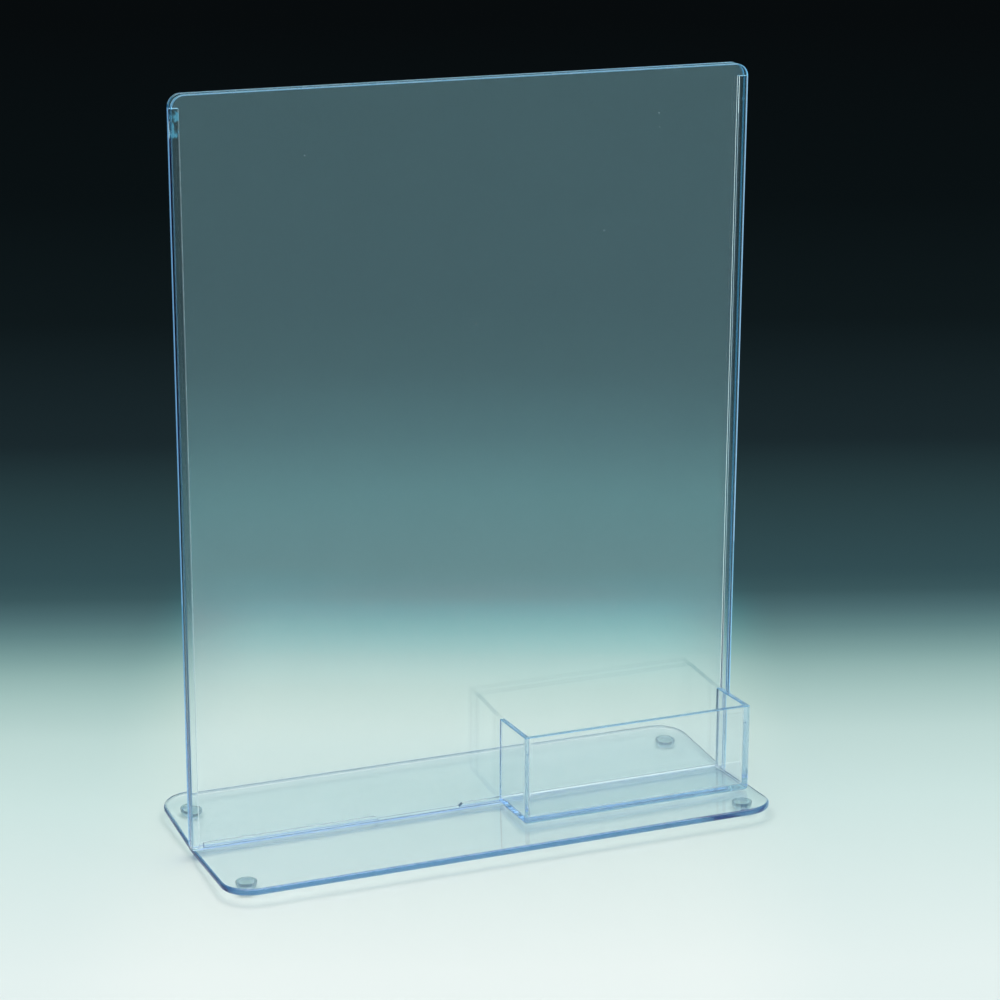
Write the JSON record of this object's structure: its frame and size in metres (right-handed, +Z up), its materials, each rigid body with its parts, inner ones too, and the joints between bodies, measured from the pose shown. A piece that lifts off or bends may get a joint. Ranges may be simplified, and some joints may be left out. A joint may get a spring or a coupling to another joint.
{
  "type": "literature holder",
  "caption": "Double-sided clear sleeve for an upright letter sheet, standing on a low base plate with bumper feet, with an open card pocket bonded low on the front.",
  "frame": {"origin": "under the middle of the base plate, on the plane that the feet stand on", "axes": "+Z up the sleeve, +X to the right of someone facing the pocket side, +Y towards the rear, so the pocket side faces -Y"},
  "size_m": [0.223, 0.098, 0.2877],
  "materials": {
    "clear_plastic": "clear moulded plastic, polished, with a faint blue cast that deepens at cut edges",
    "soft_clear": "clear soft bumper plastic, slightly satin"
  },
  "bodies": {
    "root": {"base_plate": "clear_plastic", "front_panel": "clear_plastic", "rear_panel": "clear_plastic", "left_side_rail": "clear_plastic", "right_side_rail": "clear_plastic", "card_pocket": "clear_plastic", "foot_front_left": "soft_clear", "foot_front_right": "soft_clear", "foot_rear_left": "soft_clear", "foot_rear_right": "soft_clear"}
  },
  "joints": []
}
